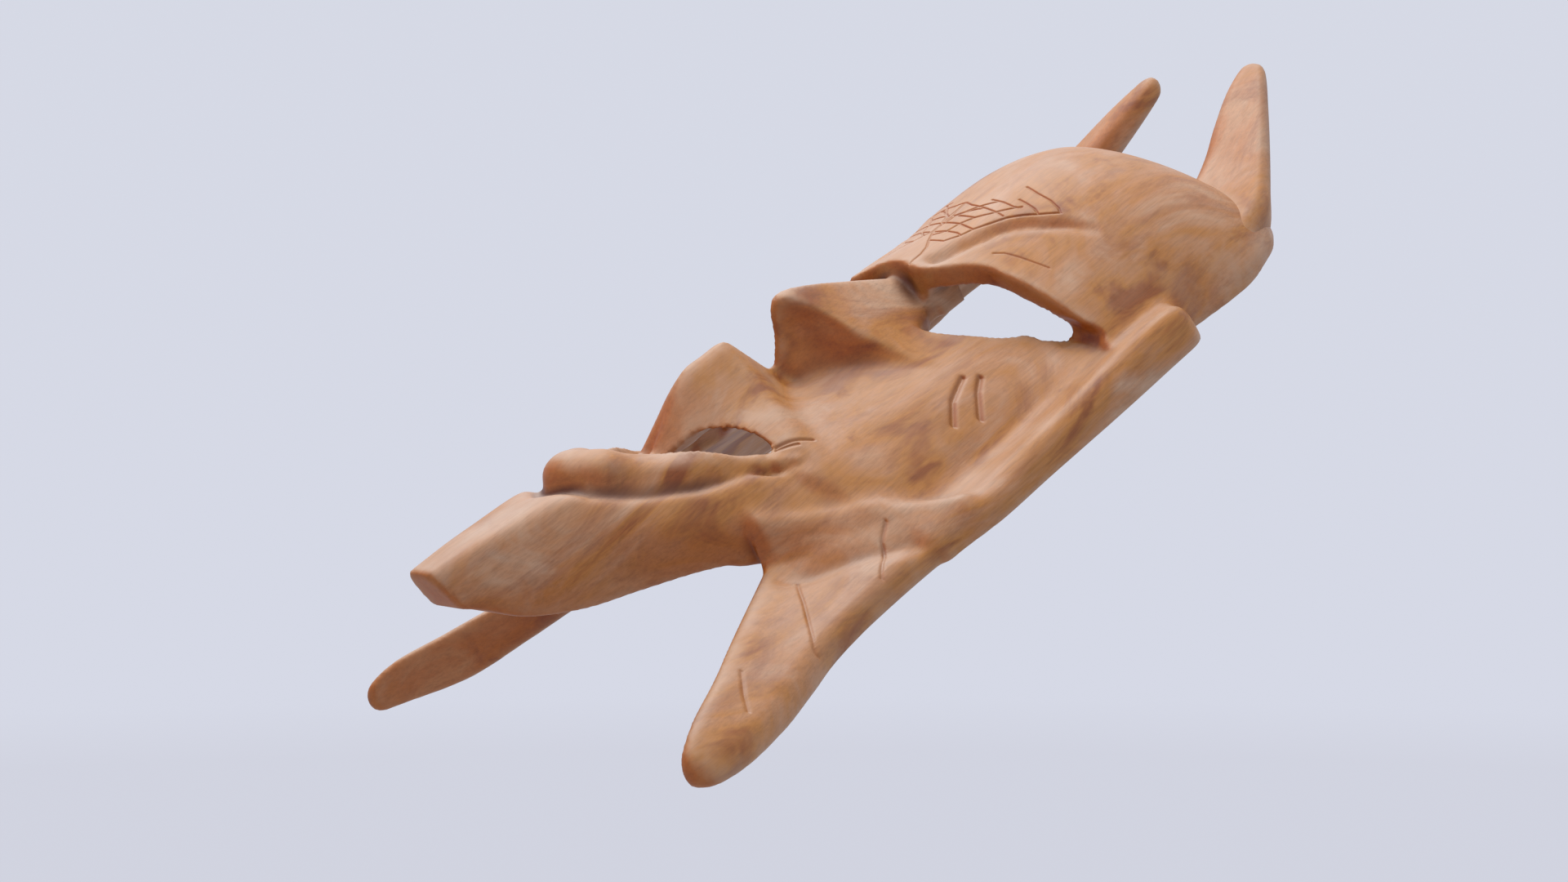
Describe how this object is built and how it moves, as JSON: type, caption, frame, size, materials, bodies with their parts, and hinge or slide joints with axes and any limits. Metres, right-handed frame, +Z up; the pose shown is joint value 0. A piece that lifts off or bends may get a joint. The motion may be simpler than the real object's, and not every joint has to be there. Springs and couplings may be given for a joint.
{
  "type": "carved wall mask",
  "caption": "Tall carved hardwood spirit mask with curved horns, ear bars, jaw tusks, peaked lips, a long cut-off beard and a hollow back, hung flat on a wall from a let-in steel hanger.",
  "frame": {"origin": "centre of the hanger's nail hole, in the plane of the flat back", "axes": "the flat back lies in Y = 0 and the face looks along -Y; +Z runs up the face towards the horns; +X is to the right seen from the front"},
  "size_m": [0.238, 0.098, 0.5],
  "materials": {
    "face_wood": "satin oiled hardwood, streaky grain along the height",
    "horn_wood": "satin oiled hardwood, grain along the horn",
    "tusk_wood": "satin oiled hardwood, grain along the tusk",
    "dowel_wood": "plain turned hardwood",
    "hanger_steel": "dull zinc-plated sheet steel",
    "screw_steel": "dull plated steel"
  },
  "bodies": {
    "root": {"face_shell": "face_wood", "horn_right": "horn_wood", "horn_left": "horn_wood", "tusk_right": "tusk_wood", "tusk_left": "tusk_wood", "horn_peg_right": "dowel_wood", "horn_peg_left": "dowel_wood", "tusk_peg_right": "dowel_wood", "tusk_peg_left": "dowel_wood", "hanger_plate": "hanger_steel", "hanger_screw_right": "screw_steel", "hanger_screw_left": "screw_steel"}
  },
  "joints": []
}
